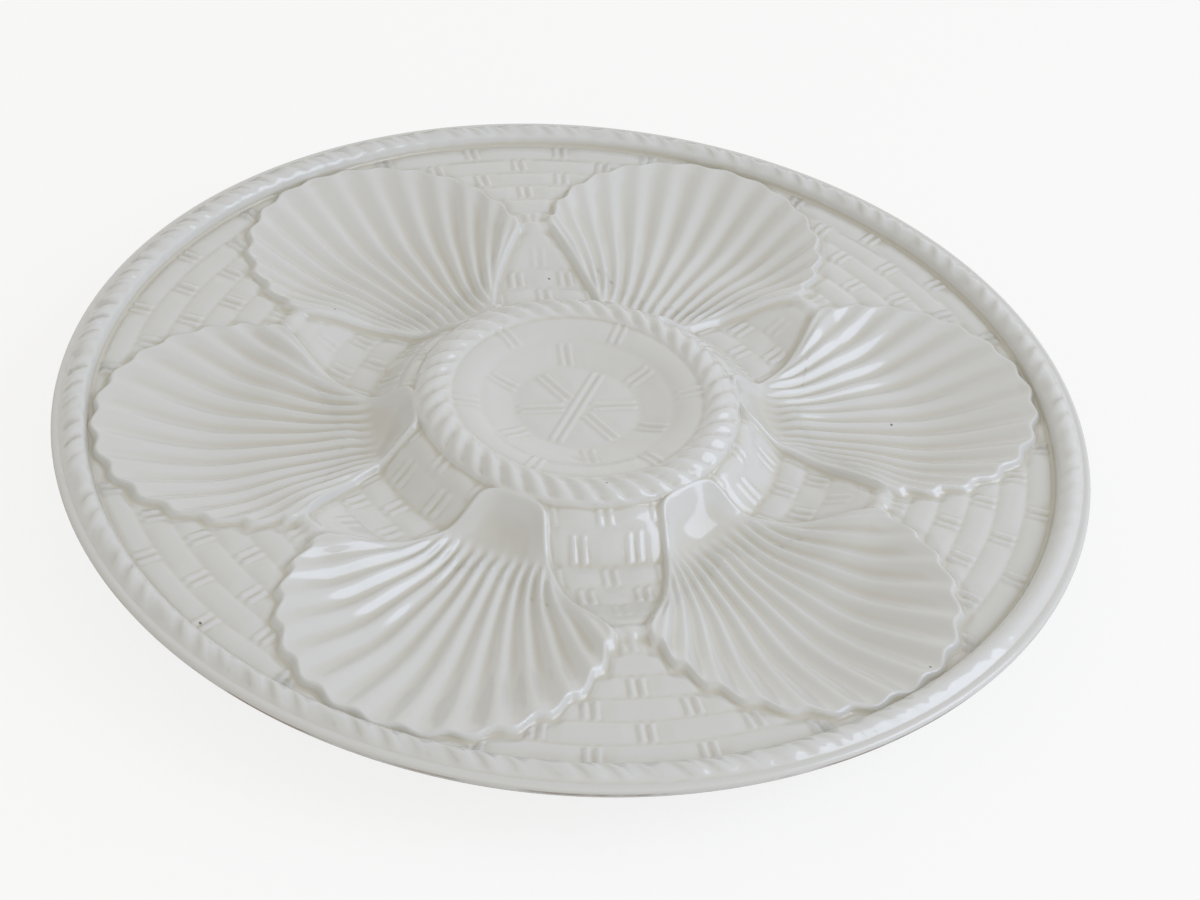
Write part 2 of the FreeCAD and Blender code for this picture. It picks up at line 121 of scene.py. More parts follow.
@dataclass(frozen=True)
class Places:
    """Points of the plate in plan, as the moulded forms measure them."""

    radius: Array
    turn: Array
    shell_turn: Array
    panel_turn: Array

    @classmethod
    def at(cls, x: Array, y: Array) -> "Places":
        """The places of points given by x and y in millimetres.

        Args:
            x: Places along X, in millimetres.
            y: Places along Y, in millimetres.

        Returns:
            The places, as the forms measure them.
        """
        turn = np.arctan2(y, x)
        shell_turn = (turn + HALF_PITCH) % (2 * HALF_PITCH) - HALF_PITCH
        panel_turn = turn % (2 * HALF_PITCH) - HALF_PITCH
        return cls(np.hypot(x, y), turn, shell_turn, panel_turn)

    def on_shell(self) -> tuple[Array, Array]:
        """The places along the axis of the nearest shell, and across it."""
        return self.radius * np.cos(self.shell_turn), self.radius * np.sin(self.shell_turn)


@dataclass(frozen=True)
class GroundForm:
    """The ground between the shells: high at the rim and the dish, with a valley between them."""

    edge_z: float = 20.0
    start: float = 38.5
    tip_rise: float = 1.8
    valley_depth: float = 6.0
    valley_start: float = 51.0
    valley_end: float = 57.0
    pinch_reach: float = 3.24
    pinch_share: float = 0.8
    lip_drop: float = 0.5
    lip_rise: float = 1.5
    wall: float = 4.3

    def lip_line(self, radius: Array) -> Heights:
        """Height of a shell's lip at a distance from the plate's axis.

        Args:
            radius: Distances from the plate's axis.

        Returns:
            Heights, in millimetres.
        """
        fall = ease(radius, self.start, self.valley_start)
        climb = ease(radius, self.valley_end, PINCH_RADIUS)
        near = self.edge_z + self.tip_rise - fall * (self.tip_rise + self.valley_depth)
        far = self.edge_z - self.valley_depth + climb * (self.valley_depth - self.lip_drop)
        return np.where(radius < self.valley_start, near, far)

    def height(self, radius: Array) -> Heights:
        """Height of the plain ground, which rises to the lips where two shells pinch it."""
        pinch = 1 - ease(np.abs(radius - PINCH_RADIUS), 0, self.pinch_reach)
        return self.lip_line(radius) - self.lip_rise * (1 - self.pinch_share * pinch)


@dataclass(frozen=True)
class WeaveForm:
    """Basket weave moulded on the ground: pairs of stakes, and strands that pass over and under them."""

    row: float = 6.473
    turn_pitch: float = math.radians(6.3)
    inner_pitch: float = 6.4
    front_sway: float = 0.014
    stake_apart: float = 1.25
    stake_half: float = 1.0
    stake_rise: float = 0.55
    strand_rise: float = 0.55
    strand_run: Span = (2.35, 5.95)
    strand_side: Span = (1.65, 2.85)
    strand_least: float = 0.42
    strand_bulge: float = 2.6
    end_run: float = 0.2
    merge: float = 0.25
    last_row: Span = (113.5, 114.7)
    smoothed: float = 0.6
    smooth_from: Span = (60, 66)
    smooth_to: Span = (76, 86)

    def relief(self, places: Places) -> Heights:
        """How far the weave stands above the plain ground.

        Args:
            places: The points in plan.

        Returns:
            Heights, in millimetres.
        """
        along = (places.radius - PINCH_RADIUS) / self.row
        number = np.floor(along)
        across_row = along - number
        inside = places.radius < PINCH_RADIUS
        side = places.radius * np.sin(places.panel_turn)
        sway = self.front_sway * np.clip(-np.sin(places.turn), 0, 1) ** 6
        pitch = np.where(inside, self.inner_pitch, places.radius * self.turn_pitch)
        column = np.where(inside, side / self.inner_pitch, (places.panel_turn + sway) / self.turn_pitch)
        parity = number % 2
        nearest = 2 * np.round((column - parity) / 2) + parity
        gap = np.abs(column - nearest) * pitch
        ends = ease(across_row, 0.0, self.end_run) * ease(1 - across_row, 0.0, self.end_run)
        stakes = self.stake_rise * hump(gap, self.stake_apart, self.stake_half) * ends
        body = 1 - np.abs(2 * across_row - 1) ** self.strand_bulge
        over = self.strand_least + (1 - self.strand_least) * ease(gap, *self.strand_run)
        strands = self.strand_rise * body * over * ease(gap, *self.strand_side)
        plain = 1 - ease(places.radius, *self.last_row)
        near_pinch = ease(places.radius, *self.smooth_from) * (1 - ease(places.radius, *self.smooth_to))
        return higher(stakes, strands, self.merge) * plain * (1 - self.smoothed * near_pinch)


@dataclass(frozen=True)
class ShellForm:
    """One fluted scallop shell, on the +X axis: its outline, its bowl and its raised lip."""

    hub: float = 55.0
    margin_centre: float = 77.533
    margin_radius: float = 35.967
    fan_back: float = -18.0
    fan_round: float = 10.0
    arch_start: float = 45.0
    arch_length: float = 36.01
    arch_half_width: float = 13.6
    arch_past: float = 1.2
    hinge_tip: float = 39.1
    ear_turn: float = math.radians(70.31)
    hinge_round: float = 5.0
    ear_round: float = 2.6
    axis_round: float = 3.0
    side_round: float = 4.0
    bowl_round: float = 5.0
    bowl_least: float = 4.0
    focus: float = 47.0
    focal: float = 20.0
    flute_pitch: float = math.radians(9.667)
    flute_depth: float = 1.05
    flute_round: float = 1.0
    flute_start: float = 8.0
    flute_side: Span = (0.2, 1.8)
    flute_fade: float = 0.2
    flute_fade_from: float = 0.75
    flutes: int = 8
    last_flute: Span = (7.6, 8.0)
    scallop: float = 1.2
    floor_z: float = 12.0
    bowl_rise: float = 2.8
    hinge_rise: float = 2.0
    rise_run: Span = (-10, 8)
    belly_sag: float = 2.4
    sag_least: float = 0.3
    sag_run: Span = (-12, 30)
    lip_width: float = 2.0
    lip_round: float = 0.9
    flank_slope: float = 1.8
    flank_lift: float = 0.45
    trench_depth: float = 0.3
    trench_place: float = 2.2
    trench_width: float = 1.0
    crease_round: float = 0.9
    weave_run: Span = (0.9, 2.4)
    plain_round: float = 2.0

    def reach(self, angle: Array) -> Array:
        """Distance from the hub of the well to the lip, without its scallops.

        Args:
            angle: Angles at the hub from the shell's axis.

        Returns:
            Distances, in millimetres.
        """
        angle = np.abs(angle)
        back = self.margin_centre - self.hub
        fan = back * np.cos(angle) + np.sqrt(self.margin_radius ** 2 - (back * np.sin(angle)) ** 2)
        along = (self.hub * math.cos(HALF_PITCH) - self.arch_start) / self.arch_length
        aside = self.hub * math.sin(HALF_PITCH) / self.arch_half_width
        go_along = np.cos(angle - HALF_PITCH) / self.arch_length
        slope = along * go_along - np.sin(angle - HALF_PITCH) / self.arch_half_width / 2
        root = slope ** 2 - go_along ** 2 * (along ** 2 + aside - 1)
        met = (root >= 0) & (slope < 0)
        steep = np.where(met, slope - np.sqrt(np.maximum(root, 0)), 1)
        arch = np.where(met, (1 - aside - along ** 2) / steep, NEVER)
        ahead = self.hub * np.cos(angle)
        root = ahead ** 2 - self.hub ** 2 + self.hinge_tip ** 2
        met = (root >= 0) & (ahead < 0)
        tip = np.where(met, -ahead - np.sqrt(np.maximum(root, 0)), NEVER)
        hinge = (arch ** -self.hinge_round + tip ** -self.hinge_round) ** (-1 / self.hinge_round)
        return np.where(angle <= self.ear_turn, fan, hinge)

    def inward(self, x: Array, y: Array) -> tuple[Array, Array]:
        """How far points lie inside the margin circle of the shell, and inside its sides.

        Args:
            x: Places along the shell's axis, from the plate's axis.
            y: Places across it.

        Returns:
            Both distances, below 0 outside.
        """
        fan = self.margin_radius - np.hypot(higher(x - self.margin_centre, self.fan_back, self.fan_round), y)
        across = np.hypot(y, self.axis_round)
        along = x * math.cos(HALF_PITCH) + across * math.sin(HALF_PITCH) - self.arch_start
        aside = x * math.sin(HALF_PITCH) - across * math.cos(HALF_PITCH)
        share = along / self.arch_length
        lean = 2 * self.arch_half_width * share / self.arch_length
        side = (aside - self.arch_half_width * (1 - share ** 2)) / np.sqrt(1 + lean ** 2)
        side = np.where(share > self.arch_past, NEVER, side)
        tip = np.hypot(x, y) - self.hinge_tip
        return fan, lower(side, tip, self.side_round)

    def lobes(self, x: Array, y: Array, sides: Array) -> Array:
        """The flutes, which curve apart from the hinge as the branches of hyperbolas do.

        Args:
            x: Places along the shell's axis.
            y: Places across it.
            sides: How far inside the sides the places lie.

        Returns:
            0 in the middle of each channel and 1 on the ridges.
        """
        bent = np.arcsinh((x - self.focus + 1j * y) / self.focal)
        angles = np.arange(self.flutes) * self.flute_pitch
        reach = self.reach(angles)
        rim_x = self.hub + reach * np.cos(angles)
        rim_y = reach * np.sin(angles)
        marks = np.arcsinh((rim_x - self.focus + 1j * rim_y) / self.focal).imag
        marks = np.append(marks, 2 * marks[-1] - marks[-2])
        number = np.interp(np.abs(bent.imag), marks, np.arange(self.flutes + 1))
        wave = 1 - rounded(np.cos(np.pi * number), self.flute_round)
        ends = ease(x, self.focus, self.focus + self.flute_start) * (1 - ease(number, *self.last_flute))
        return wave * ease(sides, *self.flute_side) * ends

    def bowl(self, share: Array, x: Array, lip: Array) -> Heights:
        """Height of the smooth bowl, at a share of the way from the hub to the lip.

        Args:
            share: Shares of the way to the lip.
            x: Places along the shell's axis.
            lip: Heights of the lip line.

        Returns:
            Heights, in millimetres.
        """
        sag = self.belly_sag * (self.sag_least + (1 - self.sag_least) * ease(x - self.hub, *self.sag_run))
        hollow = sag * np.sin(np.pi * np.clip(share, 0, 1)) ** 2
        rise = self.hinge_rise + (self.bowl_rise - self.hinge_rise) * ease(x - self.hub, *self.rise_run)
        return self.floor_z + (lip - self.floor_z) * share ** rise - hollow

    def share(self, x: Array, y: Array, fan: Array, sides: Array) -> Array:
        """Share of the way from the hub to the lip, over 1 outside it."""
        distance = np.hypot(x - self.hub, y)
        return distance / np.maximum(distance + lower(fan, sides, self.bowl_round), self.bowl_least)

    def press(self, places: Places, ground: GroundForm, weave: WeaveForm) -> Heights:
        """Height of the shells and the woven ground round them.

        Args:
            places: The points in plan.
            ground: The ground round the shells.
            weave: The weave on the ground.

        Returns:
            Heights, in millimetres.
        """
        x, y = places.on_shell()
        fan, sides = self.inward(x, y)
        share = self.share(x, y, fan, sides)
        lobes = self.lobes(x, y, sides)
        lip = ground.lip_line(places.radius)
        flute = self.flute_depth * lobes * (1 - self.flute_fade * ramp(share, self.flute_fade_from, 1))
        bowl = self.bowl(share, x, lip) + flute
        outward = self.scallop * lobes - lower(fan, sides, self.ear_round)
        flank = lip + self.flank_lift - self.flank_slope * outward
        trench = self.trench_depth * np.exp(-((outward - self.trench_place) / self.trench_width) ** 2)
        clear = ease(outward, *self.weave_run)
        woven = ground.height(places.radius) - trench + weave.relief(places) * clear
        return lower(bowl, higher(flank, woven, self.crease_round), self.lip_round)

    def plain(self, places: Places, ground: GroundForm) -> Heights:
        """Height of the shells and the ground with no fine relief, which the back of the plate follows.

        Args:
            places: The points in plan.
            ground: The ground round the shells.

        Returns:
            Heights, in millimetres.
        """
        x, y = places.on_shell()
        lip = ground.lip_line(places.radius)
        bowl = self.bowl(self.share(x, y, *self.inward(x, y)), x, lip)
        return lower(bowl, lip - ground.lip_rise, self.plain_round)


@dataclass(frozen=True)
class RopeForm:
    """A twisted rope moulding laid round the axis."""

    inner: float
    outer: float
    foot_z: float
    crest_z: float
    crest_shift: float
    strands: int
    lean: float
    groove: float
    groove_round: float
    inner_run: float
    outer_run: float
    unevenness: float = 0.12
    worn: float = 0.0
    worn_turn: float = -0.75
    worn_reach: float = 0.5

    def height(self, places: Places) -> Heights:
        """Height of the rope, which dives below its neighbours outside its two feet.

        Args:
            places: The points in plan.

        Returns:
            Heights, in millimetres.
        """
        middle = (self.inner + self.outer) / 2 + self.crest_shift
        half = np.where(places.radius < middle, middle - self.inner, self.outer - middle)
        across = (places.radius - middle) / half
        body = np.sqrt(np.clip(1 - across ** 2, 0, 1)) - np.clip(np.abs(across) - 1, 0, 3) * 2
        phase = self.strands * (places.turn - self.lean * across / 2) / (2 * math.pi)
        wave = 1 - rounded(np.cos(np.pi * phase), self.groove_round)
        hold = ease(1 + across, 0.0, self.inner_run) * ease(1 - across, 0.0, self.outer_run)
        uneven = 1 + self.unevenness * np.sin(5 * places.turn + 0.7) * np.sin(11 * places.turn + 2.1)
        uneven -= self.worn * np.exp(-((places.turn - self.worn_turn) / self.worn_reach) ** 2)
        return self.foot_z + (self.crest_z - self.foot_z) * body - self.groove * wave * hold * uneven


@dataclass(frozen=True)
class DishForm:
    """The floor of the small centre dish, with the woven bottom of a basket moulded on it."""

    floor_z: float = 18.5
    floor_radius: float = 14.0
    seat_z: float = 22.4
    seat_radius: float = 31.0
    stake_rise: float = 0.36
    strand_rise: float = 0.27
    stake_apart: float = 1.1
    stake_half: float = 0.82
    end_run: float = 1.0
    strand_bulge: float = 3.0
    strand_least: float = 0.3
    strand_run: Span = (2.0, 5.2)
    strand_side: Span = (1.5, 2.4)
    merge: float = 0.12
    crossing: float = math.radians(60)
    crossing_end: Span = (4.0, 7.0)
    rings: tuple[tuple[float, float, int], ...] = ((3.0, 14.7, 0), (15.3, 22.9, 1), (23.5, 31.0, 0))

    def height(self, places: Places) -> Heights:
        """Height of the dish's floor and the wall round it.

        Args:
            places: The points in plan.

        Returns:
            Heights, in millimetres.
        """
        radius = places.radius
        base = self.floor_z + (self.seat_z - self.floor_z) * ease(radius, self.floor_radius, self.seat_radius)
        relief = np.zeros_like(radius)
        for start, end, odd in self.rings:
            turn = places.panel_turn if odd else places.shell_turn
            side = np.abs(radius * np.sin(turn))
            ends = ease(radius, start, start + self.end_run) * (1 - ease(radius, end - self.end_run, end))
            stake = self.stake_rise * hump(side, self.stake_apart, self.stake_half) * ends
            along = (radius - start) / (end - start)
            body = np.clip(1 - np.abs(2 * along - 1) ** self.strand_bulge, 0, 1)
            over = self.strand_least + (1 - self.strand_least) * ease(side, *self.strand_run)
            strand = self.strand_rise * body * over * ease(side, *self.strand_side)
            relief = np.maximum(relief, higher(stake, strand, self.merge))
        side = np.abs(radius * np.sin(places.turn - self.crossing))
        across = hump(side, self.stake_apart, self.stake_half) * (1 - ease(radius, *self.crossing_end))
        return base + np.maximum(relief, self.stake_rise * across)


@dataclass(frozen=True)
class BandForm:
    """The plain rolled band that ends the plate outside the rope."""

    crest_radius: float = 121.25
    crest_z: float = 20.75
    fall: float = 0.24

    def height(self, radius: Array) -> Heights:
        """Height of the band, which dives below the rope inwards."""
        return self.crest_z - self.fall * (radius - self.crest_radius) ** 2


class Skin:
    """The whole glazed surface of the plate: its top, its back, and how hollow it is at each place."""

    slope_step = 0.45
    centre_blend = 2.2
    rim_blend = 1.8
    band_blend = 1.4
    still = (112, 119)
    hollow_rings = ((1.1, 0.6, 0.35), (4.0, 0.4, 1.3))
    hollow_turns = (0.3, 2.394, 4.489)

    def __init__(self) -> None:
        """Sets up the forms that make the skin."""
        self.ground = GroundForm()
        self.weave = WeaveForm()
        self.shell = ShellForm()
        self.rim_rope = RopeForm(
            inner=114.5, outer=120.9, foot_z=18.5, crest_z=22.5, crest_shift=0.0, strands=144,
            lean=math.radians(2.8), groove=0.82, groove_round=0.55, inner_run=0.6, outer_run=0.6,
            worn=0.8)
        self.centre_rope = RopeForm(
            inner=29.8, outer=38.9, foot_z=19.9, crest_z=24.5, crest_shift=-0.6, strands=40,
            lean=math.radians(12), groove=1.0, groove_round=0.6, inner_run=0.6, outer_run=0.35)
        self.dish = DishForm()
        self.band = BandForm()

    def top(self, x: Array, y: Array) -> Heights:
        """Height of the glazed face at points in plan.

        Args:
            x: Places along X, in millimetres.
            y: Places along Y, in millimetres.

        Returns:
            Heights, in millimetres.
        """
        places = Places.at(x, y)
        outside = self.shell.press(places, self.ground, self.weave)
        inside = self.dish.height(places)
        middle = (self.centre_rope.inner + self.centre_rope.outer) / 2
        height = np.where(places.radius < middle, inside, outside)
        height = higher(height, self.centre_rope.height(places), self.centre_blend)
        height = higher(height, self.rim_rope.height(places), self.rim_blend)
        height = higher(height, self.band.height(places.radius), self.band_blend)
        waver = 0.07 * np.sin(x / 9.7 + 1.3) * np.sin(y / 11.3 + 0.4) + 0.03 * np.sin(x / 3.9 + y / 5.3)
        return height + waver * (1 - ease(places.radius, *self.still))

    def back(self, x: Array, y: Array) -> Heights:
        """Height of the underside: one wall below the top, and flat where the foot ring joins it.

        Args:
            x: Places along X, in millimetres.
            y: Places along Y, in millimetres.

        Returns:
            Heights, in millimetres.
        """
        places = Places.at(x, y)
        thick = self.shell.plain(places, self.ground) - self.ground.wall - FootRing.height
        within = ease(FootRing.inner - 2 - places.radius, 0, 5)
        beyond = ease(places.radius - FootRing.outer - 2, 0, 5)
        return FootRing.height + higher(thick, np.zeros_like(thick), 1.0) * (within + beyond)

    def slope(self, face: Callable, x: Array, y: Array) -> Array:
        """Unit vectors square to a face of the skin, pointing up.

        Args:
            face: The face's height as a function of x and y.
            x: Places along X, in millimetres.
            y: Places along Y, in millimetres.

        Returns:
            An array with a row of three numbers for each place.
        """
        step = self.slope_step
        along = (face(x + step, y) - face(x - step, y)) / (2 * step)
        across = (face(x, y + step) - face(x, y - step)) / (2 * step)
        square = np.stack([-along, -across, np.ones_like(along)], 1)
        return square / np.linalg.norm(square, axis=1, keepdims=True)

    def hollow(self, x: Array, y: Array) -> Array:
        """How hollow the top is: above 0 in grooves, where glaze pools and shade is painted, and below 0 on
        crests.

        Args:
            x: Places along X, in millimetres.
            y: Places along Y, in millimetres.

        Returns:
            One number for each place.
        """
        here = self.top(x, y)
        total = np.zeros_like(here)
        # Hollows found here get pooled glaze and painted shade in the glaze's colour, and crests get a
        # painted highlight.
        for reach, weight, depth in self.hollow_rings:
            ring = [self.top(x + reach * math.cos(turn), y + reach * math.sin(turn))
                    for turn in self.hollow_turns]
            total += weight * np.clip((sum(ring) / len(ring) - here) / depth, -1, 1)
        return total


class Joins:
    """Where the pieces of the skin meet in plan."""

    rope_inner = 114.46
    rope_outer = 120.7
    dish_radius = 30.0
    centre_outer = 38.5
    lip_samples = 1441
    rim_samples = 1600
    end_samples = 60

    def __init__(self, shell: ShellForm) -> None:
        """Works out the foot of the shell's lip, which parts the shells from the weave.

        Args:
            shell: The form whose lip is followed.
        """
        angle = np.linspace(math.pi, 0, self.lip_samples)
        reach = shell.reach(angle)
        x = shell.hub + reach * np.cos(angle)
        y = reach * np.sin(angle)
        across = np.stack([-np.gradient(y), np.gradient(x)], 1)
        across /= np.linalg.norm(across, axis=1, keepdims=True)
        foot_x = x + shell.lip_width * across[:, 0]
        foot_y = y + shell.lip_width * across[:, 1]
        radius = np.hypot(foot_x, foot_y)
        rising = radius > np.concatenate([[0], np.maximum.accumulate(radius)[:-1]])
        self.radii = radius[rising]
        self.angles = np.arctan2(foot_y, foot_x)[rising]
        rim = np.linspace(self.centre_outer, self.rope_inner, self.rim_samples)
        near = np.linspace(0, self.foot_angle(rim[:1])[0], self.end_samples)[:-1]
        far = np.linspace(self.foot_angle(rim[-1:])[0], 0, self.end_samples)[1:]
        all_radii = np.concatenate([np.full(len(near), rim[0]), rim, np.full(len(far), rim[-1])])
        all_angles = np.concatenate([near, self.foot_angle(rim), far])
        edge_x = all_radii * np.cos(all_angles) - shell.hub
        edge_y = all_radii * np.sin(all_angles)
        self.edge_turn = np.arctan2(edge_y, edge_x)[::-1]
        self.edge_reach = np.hypot(edge_x, edge_y)[::-1]
        ear = np.interp(PINCH_RADIUS, rim, self.edge_turn[::-1][len(near):len(near) + len(rim)])
        self.knots = [0.0, self.edge_turn[len(far)], ear, self.edge_turn[-len(near) - 1], math.pi]

    def foot_angle(self, radius: Array) -> Array:
        """Angle about the plate's axis of the lip's foot, from a shell's axis."""
        return np.interp(radius, self.radii, self.angles)

    def reach(self, angle: Array) -> Array:
        """Distance from the hub of the well to the edge of a shell's piece."""
        return np.interp(np.abs(angle), self.edge_turn, self.edge_reach)


# ---------------------------------------------------------------- working the meshes

class Bench:
    """Makes primitives and shapes them."""

    def __init__(self, skin: Skin) -> None:
        """Keeps the skin that pieces are pressed to."""
        self.skin = skin

    @staticmethod
    def fresh(name: str) -> Piece:
        """Names the primitive that was just added, and returns it.

        Args:
            name: The piece's name.

        Returns:
            The piece.
        """
        piece = bpy.context.object
        piece.name = name
        piece.data.name = name
        return piece

    @staticmethod
    def places_of(piece: Piece) -> Array:
        """The vertices of a piece, in metres, one row each.

        Args:
            piece: The piece.

        Returns:
            The rows.
        """
        flat = np.zeros(len(piece.data.vertices) * 3)
        piece.data.vertices.foreach_get("co", flat)
        return flat.reshape(-1, 3)

    @staticmethod
    def put(piece: Piece, x: Array, y: Array, z: Array) -> None:
        """Moves the vertices of a piece to places given in millimetres.

        Args:
            piece: The piece.
            x: Places along X.
            y: Places along Y.
            z: Heights.
        """
        places = np.stack([x, y, z], 1) * MM
        piece.data.vertices.foreach_set("co", places.ravel())
        piece.data.update()

    def press(self, piece: Piece, x: Array, y: Array, on_top: Array, under: object = None) -> None:
        """Presses a piece to the skin's top and to its back, or to given heights instead of the back.

        Args:
            piece: The piece.
            x: Places along X, in millimetres.
            y: Places along Y, in millimetres.
            on_top: Which vertices lie on the skin's top.
            under: Heights of the other vertices, or None where they follow the skin's back.
        """
        on_back = ~on_top if under is None else np.zeros_like(on_top)
        below = self.skin.back(x, y) if under is None else under
        self.put(piece, x, y, np.where(on_top, self.skin.top(x, y), below))
        self.dress(piece, on_top, on_back)

    def dress(self, piece: Piece, on_top: Array, on_back: Array) -> None:
        """Gives a pressed piece the skin's own shading and its measure of how hollow it is.

        Args:
            piece: The piece, with its vertices in place.
            on_top: Which vertices lie on the skin's top.
            on_back: Which vertices lie on its back.
        """
        mesh = piece.data
        places = self.places_of(piece) / MM
        x, y = places[:, 0], places[:, 1]
        top = np.zeros((len(places), 3))
        back = np.zeros((len(places), 3))
        top[on_top] = self.skin.slope(self.skin.top, x[on_top], y[on_top])
        back[on_back] = -self.skin.slope(self.skin.back, x[on_back], y[on_back])
        corners = np.zeros(len(mesh.loops), np.int32)
        mesh.loops.foreach_get("vertex_index", corners)
        starts = np.zeros(len(mesh.polygons), np.int32)
        mesh.polygons.foreach_get("loop_start", starts)
        flat = np.zeros(len(mesh.polygons) * 3)
        mesh.polygons.foreach_get("normal", flat)
        counts = np.diff(np.append(starts, len(corners)))
        all_top = np.repeat(np.logical_and.reduceat(on_top[corners], starts), counts)
        all_back = np.repeat(np.logical_and.reduceat(on_back[corners], starts), counts)
        normals = np.repeat(flat.reshape(-1, 3), counts, axis=0)
        normals[all_top] = top[corners[all_top]]
        normals[all_back] = back[corners[all_back]]
        mesh.shade_smooth()
        mesh.normals_split_custom_set(normals)
        # How hollow each vertex is, which the glaze turns into pooled colour, painted shade and a painted
        # highlight.
        pool_and_shade = np.zeros(len(places))
        pool_and_shade[on_top] = self.skin.hollow(x[on_top], y[on_top])
        held = mesh.attributes.new("pool_and_shade", "FLOAT", "POINT")
        held.data.foreach_set("value", pool_and_shade.astype(np.float32))

    def slab(self, name: str, columns: int, rows: int, place: Callable) -> Piece:
        """A sheet of the skin with its thickness, pressed out of a grid that is extruded downwards.

        Args:
            name: The piece's name.
            columns: Faces across the sheet.
            rows: Faces along the sheet.
            place: Gives x and y in millimetres from shares across and along the sheet.

        Returns:
            The closed piece.
        """
        bpy.ops.mesh.primitive_grid_add(x_subdivisions=columns, y_subdivisions=rows, size=2)
        piece = self.fresh(name)
        bpy.ops.object.mode_set(mode="EDIT")
        bpy.ops.mesh.select_all(action="SELECT")
        bpy.ops.mesh.extrude_region_move(TRANSFORM_OT_translate={"value": (0, 0, -1)})
        bpy.ops.mesh.select_all(action="SELECT")
        bpy.ops.mesh.normals_make_consistent(inside=False)
        bpy.ops.object.mode_set(mode="OBJECT")
        places = self.places_of(piece)
        x, y = place((places[:, 0] + 1) / 2, (places[:, 1] + 1) / 2)
        self.press(piece, x, y, places[:, 2] >= -0.5)
        return piece

    def barrel(self, name: str, rays: int, levels: int) -> tuple[Piece, Array, Array]:
        """A closed barrel, rolled out of a grid and drawn to a point at both ends.

        Args:
            name: The piece's name.
            rays: Faces round the barrel.
            levels: Faces from its upper end to its lower one.

        Returns:
            The piece, and the ray and level that each of its vertices lies on.
        """
        bpy.ops.mesh.primitive_grid_add(x_subdivisions=rays, y_subdivisions=levels, size=2)
        piece = self.fresh(name)
        places = self.places_of(piece)
        turn = (places[:, 0] + 1) * math.pi
        level = np.round((places[:, 1] + 1) / 2 * levels)
        girth = np.where((level == 0) | (level == levels), 0.0, 1000.0)
        self.put(piece, girth * np.cos(turn), girth * np.sin(turn), -1000 * level)
        bpy.ops.object.mode_set(mode="EDIT")
        bpy.ops.mesh.select_all(action="SELECT")
        bpy.ops.mesh.remove_doubles(threshold=1e-5)
        bpy.ops.mesh.normals_make_consistent(inside=False)
        bpy.ops.object.mode_set(mode="OBJECT")
        places = self.places_of(piece)
        ray = np.round(np.arctan2(places[:, 1], places[:, 0]) / (2 * math.pi) * rays).astype(int) % rays
        return piece, ray, np.round(-places[:, 2]).astype(int)

    @staticmethod
    def ring(name: str, steps: int, corners: int) -> tuple[Piece, Array, Array]:
        """A torus, with each vertex's turn round the axis and its number round the section.

        Args:
            name: The piece's name.
            steps: Faces round the ring.
            corners: Faces round its section.

        Returns:
            The piece, the turns and the numbers.
        """
        bpy.ops.mesh.primitive_torus_add(
            major_segments=steps, minor_segments=corners, major_radius=1, minor_radius=0.25)
        piece = Bench.fresh(name)
        places = Bench.places_of(piece)
        turn = np.arctan2(places[:, 1], places[:, 0])
        bend = np.arctan2(places[:, 2], np.hypot(places[:, 0], places[:, 1]) - 1)
        return piece, turn, np.round(bend / (2 * math.pi) * corners).astype(int) % corners

    @staticmethod
    def turned(name: str, section: list[Span], steps: int) -> Piece:
        """A turned piece, pressed out of a torus to a closed half section.

        Args:
            name: The piece's name.
            section: Radius and height of each corner, in millimetres, anticlockwise.
            steps: Faces round the piece.

        Returns:
            The closed piece.
        """
        piece, turn, number = Bench.ring(name, steps, len(section))
        radius, height = np.array(section)[number].T
        Bench.put(piece, radius * np.cos(turn), radius * np.sin(turn), height)
        return piece

    @staticmethod
    def smooth(piece: Piece) -> None:
        """Shades a turned piece smooth, apart from its sharp edges."""
        piece.data.shade_smooth()
        bpy.ops.object.shade_smooth_by_angle(angle=math.radians(40))


def finish_piece(piece: Piece, slot: str, material: Material, *nodes: str) -> None:
    """Dresses a piece, sets it on the plate's body and lets it stand for its solids.

    Args:
        piece: The piece.
        slot: Its material slot in the record, which is not used.
        material: Its finish.
        nodes: The solids that it stands for.
    """
    piece.data.materials.clear()
    piece.data.materials.append(material)
    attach(piece, "root")
    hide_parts(*nodes)
    piece.select_set(False)
    log.info("%s: %d faces, stands for %s", piece.name, len(piece.data.polygons), ", ".join(nodes))


# ---------------------------------------------------------------- shading

class Shade:
    """An output of a shading node that Python can do sums with."""

    def __init__(self, maker: "Finishes", socket: bpy.types.NodeSocket) -> None:
        """Keeps the socket and the maker of its nodes."""
        self.maker = maker
        self.socket = socket

    def sum(self, operation: str, *values: object) -> "Shade":
        """A Math node on these values."""
        return self.maker.node("ShaderNodeMath", {"operation": operation}, dict(enumerate(values)))

    def __add__(self, other: object) -> "Shade":
        """This plus other."""
        return self.sum("ADD", self, other)

    __radd__ = __add__

    def __mul__(self, other: object) -> "Shade":
        """This times other."""
        return self.sum("MULTIPLY", self, other)

    __rmul__ = __mul__

    def __sub__(self, other: object) -> "Shade":
        """This less other."""
        return self.sum("SUBTRACT", self, other)

    def __rsub__(self, other: object) -> "Shade":
        """Other less this."""
        return self.sum("SUBTRACT", other, self)

    def above(self, low: float, high: float) -> "Shade":
        """0 below low, 1 above high, and a smooth rise between them."""
        inputs = {"Value": self, "From Min": low, "From Max": high, "To Min": 0.0, "To Max": 1.0}
        return self.maker.node("ShaderNodeMapRange", {"interpolation_type": "SMOOTHSTEP"}, inputs)


